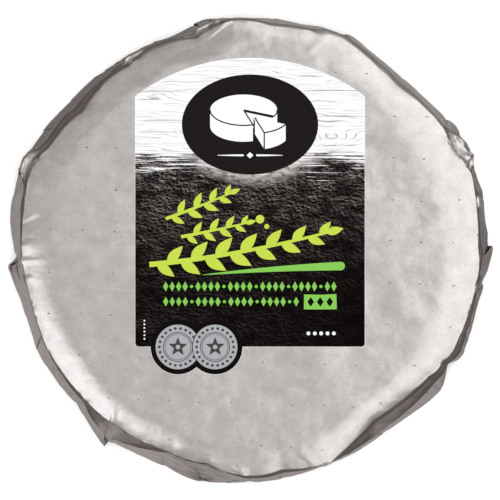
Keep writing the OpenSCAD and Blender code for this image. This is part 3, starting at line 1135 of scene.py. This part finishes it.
# %% Ground material
def paper_tooth(tree):
    """The paper's grain: its mask, and the normal that it gives."""
    place = add(tree, "ShaderNodeTexCoord").outputs["Object"]
    height, mask = grain_at(tree, place, 2600.0, 1.4)
    return mask, bumped(tree, height, 0.00002, 0.2)


def ground_material():
    material, tree = new_material("printed board and slate")
    metres = add(tree, "ShaderNodeTexCoord").outputs["Object"]
    place = vectors(tree, "MULTIPLY", metres, (1 / MM,) * 3)
    x, y, _ = add(tree, "ShaderNodeSeparateXYZ", {0: place}).outputs
    slate = slate_colour(tree, place, x, y)
    slate = blend_colour(tree, oval_haze(tree, place, x, y), slate, printed(214, 208, 204))
    # The edge between slate and board is a height above the middle, broken up by long noise.
    broken = sums(tree, "SUBTRACT", long_noise(tree, place, 2.6, 0.11, 6.0, 7.7), 0.5)
    is_board = spread(tree, sums(tree, "MULTIPLY_ADD", broken, 26.0, y), 19.5, 20.6)
    colour = blend_colour(tree, is_board, slate, board_colour(tree, place, x, y))
    close_material(tree, Base_Color=colour, Roughness=0.55, Specular_IOR_Level=0.03,
                   Normal=paper_tooth(tree)[1])
    return material


ground = ground_material()
print("ground material nodes:", len(ground.node_tree.nodes))

# %% [markdown]
# ## Paper and flat inks
#
# The flat inks are all one kind of finish: a thin satin film on paper, each with its own colour. One
# function makes them, with the shared grain for the paper's tooth and a slight unevenness of ink.

# %% Inks
def ink_material(name, colour, rough=0.5):
    material, tree = new_material(name)
    mask, normal = paper_tooth(tree)
    deep, full = printed(*(c * 0.95 for c in colour)), printed(*(min(255, c * 1.02) for c in colour))
    close_material(tree, Base_Color=blend_colour(tree, mask, deep, full), Roughness=rough,
                   Specular_IOR_Level=0.03, Normal=normal)
    return material


INK_COLOURS = {
    "paper": (246, 245, 242), "board joint": (132, 124, 120), "black ink": (30, 26, 26),
    "white ink": (252, 252, 252), "lime ink": (197, 217, 78), "green ink": (134, 199, 87),
    "slate ink": (16, 12, 10), "silver ink": (170, 172, 175), "seal line": (70, 66, 66),
}
for name in INKS:
    label.data.materials.append(ground if name == "ground" else ink_material(name, INK_COLOURS[name]))
print("label materials:", [m.name for m in label.data.materials])

# %% [markdown]
# ## Setting the slits in rows
#
# The tree takes its sizes as named inputs. A flat grid is turned and moved a little, since the sheet was
# not laid quite straight, and looked up in the foil's sheet map with Sample UV Surface. Points off the
# sheet, close to the label or low down go, and the rest get a slit turned to the foil's own normal.

# %% Rows of points on the flat sheet
HOLE_STRAY = 0.00022  # metres by which the pricking strays from its rows
HOLE_INPUTS = {
    "Foil": "Object", "Label": "Object", "Slit": "Object", "Along a row": "Float", "Between rows": "Float",
    "Columns": "Int", "Rows": "Int", "Turn": "Float", "Shift": "Vector", "Sheet unit": "Float",
    "Clear of label": "Float", "Lowest": "Float", "Seed": "Int", "Lip": "Material", "Opening": "Material",
}


def hole_rows(tree, given):
    """A flat grid of points, and where each lies in the foil's sheet map."""
    rows = add(tree, "GeometryNodeMeshGrid", {
        "Size X": times(tree, given["Along a row"], sums(tree, "SUBTRACT", given["Columns"], 1.0)),
        "Size Y": times(tree, given["Between rows"], sums(tree, "SUBTRACT", given["Rows"], 1.0)),
        "Vertices X": given["Columns"], "Vertices Y": given["Rows"]})
    place = add(tree, "GeometryNodeInputPosition").outputs[0]
    turned = add(tree, "ShaderNodeVectorRotate", {"Vector": place, "Angle": given["Turn"]},
                 rotation_type="Z_AXIS")
    limits = {0: (-HOLE_STRAY,) * 3, 1: (HOLE_STRAY,) * 3, "Seed": given["Seed"]}
    stray = add(tree, "FunctionNodeRandomValue", limits, data_type="FLOAT_VECTOR")
    moved = vectors(tree, "ADD", turned.outputs[0], given["Shift"])
    moved = vectors(tree, "ADD", moved, stray.outputs[0])
    unit = add(tree, "ShaderNodeCombineXYZ", {0: given["Sheet unit"], 1: given["Sheet unit"], 2: 1.0})
    on_sheet = vectors(tree, "ADD", vectors(tree, "DIVIDE", moved, unit.outputs[0]), (0.5, 0.5, 0.0))
    return rows.outputs["Mesh"], on_sheet


def look_up(tree, foil_mesh, on_sheet, value):
    """A value of the folded foil at places of its sheet map, and whether each place lies on it."""
    sheet = add(tree, "GeometryNodeInputNamedAttribute", {"Name": "sheet"}, data_type="FLOAT_VECTOR")
    found = add(tree, "GeometryNodeSampleUVSurface", data_type="FLOAT_VECTOR")
    source_map = "UV Map" if "UV Map" in found.inputs else "Source UV Map"
    links = {"Mesh": foil_mesh, "Value": value, source_map: sheet.outputs["Attribute"], "Sample UV": on_sheet}
    for name, socket in links.items():
        tree.links.new(socket, [s for s in found.inputs if s.name == name and s.enabled][0])
    return [s for s in found.outputs if s.name == "Value" and s.enabled][0], found.outputs["Is Valid"]


print("inputs of the tree:", list(HOLE_INPUTS))

# %% Points on the folded foil
def object_mesh(tree, thing, space="RELATIVE"):
    return add(tree, "GeometryNodeObjectInfo", {"Object": thing}, transform_space=space).outputs["Geometry"]


def kept(tree, points, name, value, kind):
    """The points with a value stored on them, because it is worked out before they move."""
    return add(tree, "GeometryNodeStoreNamedAttribute", {"Geometry": points, "Name": name, "Value": value},
               data_type=kind, domain="POINT").outputs[0]


def read_back(tree, name, kind):
    return add(tree, "GeometryNodeInputNamedAttribute", {"Name": name}, data_type=kind).outputs["Attribute"]


def less(tree, value, limit):
    return add(tree, "FunctionNodeCompare", {0: value, 1: limit}, data_type="FLOAT",
               operation="LESS_THAN").outputs[0]


def without(tree, points, selection):
    return add(tree, "GeometryNodeDeleteGeometry", {"Geometry": points, "Selection": selection},
               domain="POINT").outputs[0]


def hole_points(tree, given):
    """The points where a slit goes, with the foil's normal kept on them as way."""
    rows, on_sheet = hole_rows(tree, given)
    foil_mesh = object_mesh(tree, given["Foil"])
    place, is_valid = look_up(tree, foil_mesh, on_sheet, add(tree, "GeometryNodeInputPosition").outputs[0])
    normal, _ = look_up(tree, foil_mesh, on_sheet, add(tree, "GeometryNodeInputNormal").outputs[0])
    points = kept(tree, rows, "way", normal, "FLOAT_VECTOR")
    points = kept(tree, points, "found", is_valid, "BOOLEAN")
    points = add(tree, "GeometryNodeSetPosition", {"Geometry": points, "Position": place}).outputs[0]
    lost = add(tree, "FunctionNodeBooleanMath", {0: read_back(tree, "found", "BOOLEAN")}, operation="NOT")
    points = without(tree, points, lost.outputs[0])
    near = add(tree, "GeometryNodeProximity", {0: object_mesh(tree, given["Label"])}, target_element="FACES")
    points = without(tree, points, less(tree, near.outputs["Distance"], given["Clear of label"]))
    position = add(tree, "GeometryNodeInputPosition").outputs[0]
    height = add(tree, "ShaderNodeSeparateXYZ", {0: position}).outputs[2]
    return without(tree, points, less(tree, height, given["Lowest"]))

# %% The breathing holes
def random_number(tree, low, high, seed):
    return add(tree, "FunctionNodeRandomValue", {2: low, 3: high, "Seed": seed}, data_type="FLOAT").outputs[1]


def with_material(tree, mesh, material, selection=True):
    return add(tree, "GeometryNodeSetMaterial", {"Geometry": mesh, "Selection": selection,
                                                 "Material": material}).outputs[0]


def holes_tree():
    """Slits of slightly different size and turn on the points, each facing away from the foil."""
    tree = bpy.data.node_groups.new("breathing holes", "GeometryNodeTree")
    for name, kind in HOLE_INPUTS.items():
        tree.interface.new_socket(name, in_out="INPUT", socket_type="NodeSocket" + kind)
    tree.interface.new_socket("Geometry", in_out="OUTPUT", socket_type="NodeSocketGeometry")
    given = add(tree, "NodeGroupInput").outputs
    points = hole_points(tree, given)
    way = read_back(tree, "way", "FLOAT_VECTOR")
    facing = add(tree, "FunctionNodeAlignRotationToVector", {"Vector": way}, axis="Z")
    twist = add(tree, "FunctionNodeAxisAngleToRotation", {
        "Axis": (0, 0, 1), "Angle": random_number(tree, -0.25, 0.25, given["Seed"])})
    turned = add(tree, "FunctionNodeRotateRotation", {
        "Rotation": facing.outputs[0], "Rotate By": twist.outputs[0]}, rotation_space="LOCAL")
    slits = add(tree, "GeometryNodeInstanceOnPoints", {
        "Points": points, "Instance": object_mesh(tree, given["Slit"], "ORIGINAL"),
        "Rotation": turned.outputs[0], "Scale": random_number(tree, 0.7, 1.1, given["Seed"])})
    real = add(tree, "GeometryNodeRealizeInstances", {0: slits.outputs[0]}).outputs[0]
    real = with_material(tree, real, given["Lip"])
    # The opening's faces get the slit shadow material: a painted shadow where the slit is dark inside.
    real = with_material(tree, real, given["Opening"], read_back(tree, "opening", "BOOLEAN"))
    add(tree, "NodeGroupOutput", {"Geometry": real})
    return tree


def grow(name, tree, values):
    """A plain mesh object from a Geometry Nodes tree and its named inputs."""
    carrier = bpy.data.objects.new(name + "_carrier", bpy.data.meshes.new(name + "_carrier"))
    bpy.context.scene.collection.objects.link(carrier)
    modifier = carrier.modifiers.new("grow", "NODES")
    modifier.node_group = tree
    for item in tree.interface.items_tree:
        if item.in_out == "INPUT":
            modifier[item.identifier] = values[item.name]
    bpy.context.view_layer.update()
    depsgraph = bpy.context.evaluated_depsgraph_get()
    mesh = bpy.data.meshes.new_from_object(carrier.evaluated_get(depsgraph), preserve_all_data_layers=True,
                                           depsgraph=depsgraph)
    mesh.name = name
    bpy.data.objects.remove(carrier)
    piece = bpy.data.objects.new(name, mesh)
    bpy.context.scene.collection.objects.link(piece)
    return piece


holes = grow("breathing_holes", holes_tree(), {
    "Foil": foil, "Label": label, "Slit": prick, "Along a row": 0.00678, "Between rows": 0.0092,
    "Columns": 21, "Rows": 17, "Turn": math.radians(-2.0), "Shift": (-0.00286, 0.00309, 0.0),
    "Sheet unit": SHEET_UNIT * MM, "Clear of label": 0.0007, "Lowest": 0.004, "Seed": 4,
    "Lip": foil.data.materials[0], "Opening": ink_material("slit shadow", (112, 104, 101), rough=0.7)})
slit_faces = len(prick.data.polygons)
bpy.data.objects.remove(prick)
for leftover in [a.name for a in holes.data.attributes if a.name in ("way", "found", "opening")]:
    holes.data.attributes.remove(holes.data.attributes[leftover])
print(f"breathing_holes: {len(holes.data.polygons)} faces, {len(holes.data.polygons) // slit_faces} slits")

# %% [markdown]
# ## Joining the frame
#
# The pieces ride on the one body of the row. The foil stands for the CAD round and the label for the
# CAD label, and those two CAD parts are hidden.

# %% Riding and replacing
for piece, node_name, slot_name in ((foil, "wrapped_cheese", "foil"), (label, "label", "label"),
                                    (holes, None, "foil")):
    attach(piece, "root")
    if node_name:
        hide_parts(node_name)

# %% [markdown]
# ## Table, light and camera
#
# Foil shows the room more than itself, so the room is half the picture. Soft boxes would leave sharp
# shapes on the foil, so the light is a painted sky instead. It is grey overhead, paler towards the
# right, for the calm satin of the top face, and dim near the horizon, for the thin dark line where the
# shoulder turns down. A broad glow at the front left draws the bright band on the shoulder there, and
# weaker glows and a few darker patches vary the rest. A lamp that the foil doesn't mirror lifts the
# paper. The floor is plain and pale.

# %% Floor and lamp
def make_floor():
    radius, count = 6.0, 96
    floor = mesh_object("floor", np.pad(arc(0, 0, radius / MM, radius / MM, count=count), ((0, 0), (0, 1))),
                        [tuple(range(count))])
    material, tree = new_material("pale floor")
    place = add(tree, "ShaderNodeTexCoord").outputs["Object"]
    colour = blend_colour(tree, noise_at(tree, place, 3.0), srgb(251, 251, 250), srgb(254, 254, 253))
    close_material(tree, Base_Color=colour, Roughness=0.9, Specular_IOR_Level=0.1)
    floor.data.materials.append(material)
    floor.visible_glossy = False
    return floor


def paper_fill(strength):
    """A soft light from straight above that the foil doesn't mirror: it only lifts paper and floor."""
    light = bpy.data.lights.new("paper fill", "SUN")
    light.energy, light.angle = strength, math.radians(20)
    lamp = bpy.data.objects.new("paper fill", light)
    lamp.visible_glossy = False
    bpy.context.scene.collection.objects.link(lamp)


floor = make_floor()
paper_fill(2.2)

# %% The sky
# Each glow: its azimuth and elevation, how many degrees round that it reaches and within how many it is
# full, and its strength. A negative one is a darker patch.
GLOWS = [
    (14, 42, 42, 12, 0.13), (216, 48, 27, 8, 0.75), (62, 0, 60, 15, 0.2), (135, 82, 10, 2, 0.26),
    (255, 83, 10, 2, 0.12), (318, 84, 8, 2, -0.19), (180, 84, 7, 1, -0.075), (88, 84, 9, 2, -0.07),
    (90, 64, 20, 6, -0.12), (132, -78, 11, 4, -0.2), (354, -79, 9, 3, -0.15), (12, -79, 7, 2, -0.1),
]
COOL, WARM = (0.93, 1.0, 1.04), (1.06, 1.0, 0.985)  # tints of what a glow adds and a patch takes away


def with_glow(tree, way, sky, azimuth, elevation, reach, full, strength):
    """The sky's colour with one glow or darker patch."""
    a, e = math.radians(azimuth), math.radians(elevation)
    towards = (math.cos(a) * math.cos(e), math.sin(a) * math.cos(e), math.sin(e))
    near = add(tree, "ShaderNodeVectorMath", {0: way, 1: towards}, operation="DOT_PRODUCT").outputs["Value"]
    share = spread(tree, near, math.cos(math.radians(reach)), math.cos(math.radians(full)), kind="SMOOTHSTEP")
    colour = tuple(abs(strength) * part for part in (COOL if strength > 0 else WARM)) + (1,)
    return add(tree, "ShaderNodeMix", {0: share, 6: sky, 7: colour}, data_type="RGBA",
               blend_type="ADD" if strength > 0 else "SUBTRACT").outputs[2]


def grey_sky():
    world = bpy.data.worlds.new("grey sky")
    world.use_nodes = True
    tree = world.node_tree
    tree.nodes.clear()
    way = add(tree, "ShaderNodeTexCoord").outputs["Generated"]
    x, y, z = add(tree, "ShaderNodeSeparateXYZ", {0: way}).outputs

    def ramp(value, low, high, a, b):
        """The colour a up to low and b from high on."""
        return blend_colour(tree, spread(tree, value, low, high, kind="SMOOTHSTEP"), a, b)

    rightward = sums(tree, "MULTIPLY_ADD", y, 0.05, x)
    overhead = ramp(rightward, -0.015, 0.115, (0.495, 0.48, 0.482, 1), (1.0, 1.02, 1.025, 1))
    dim = ramp(z, -0.5, 0.25, (0.105, 0.092, 0.088, 1), (0.31, 0.292, 0.286, 1))
    sky = ramp(z, 0.2, 0.75, dim, overhead)
    sky = ramp(z, -0.78, -0.96, sky, (0.37, 0.345, 0.34, 1))
    for glow in GLOWS:
        sky = with_glow(tree, way, sky, *glow)
    # The backdrop itself is near white and even; only what the pieces receive is uneven.
    seen = add(tree, "ShaderNodeLightPath").outputs["Is Camera Ray"]
    uneven = spread(tree, noise_at(tree, way, 11.0), 0.3, 0.7, 0.8, 1.2)
    strength = sums(tree, "MULTIPLY_ADD", seen, sums(tree, "SUBTRACT", 1.0, uneven), uneven)
    back = add(tree, "ShaderNodeBackground", {"Color": blend_colour(tree, seen, sky, (0.98, 0.98, 0.98, 1)),
                                              "Strength": strength})
    add(tree, "ShaderNodeOutputWorld", {"Surface": back.outputs[0]})
    bpy.context.scene.world = world


grey_sky()
bpy.context.scene.view_settings.view_transform = "Standard"
print(f"sky with {len(GLOWS)} glows and darker patches")

# %% [markdown]
# ## Camera
#
# The round is seen from straight above, through a long lens from 4 m, so that the wall shows only as
# the narrow band by which the foot stands out.

# %% Camera
CAMERA_HEIGHT, VIEW_WIDTH = 4.0, 0.1111
camera_data = bpy.data.cameras.new("camera")
camera_data.sensor_width = 36
camera_data.lens = 36 * CAMERA_HEIGHT / VIEW_WIDTH
camera_data.clip_start, camera_data.clip_end = 0.1, 30
camera = bpy.data.objects.new("camera", camera_data)
camera.location = (0, 0, CAMERA_HEIGHT)
bpy.context.scene.collection.objects.link(camera)
bpy.context.scene.camera = camera
print(f"lens {camera_data.lens:.0f} mm")
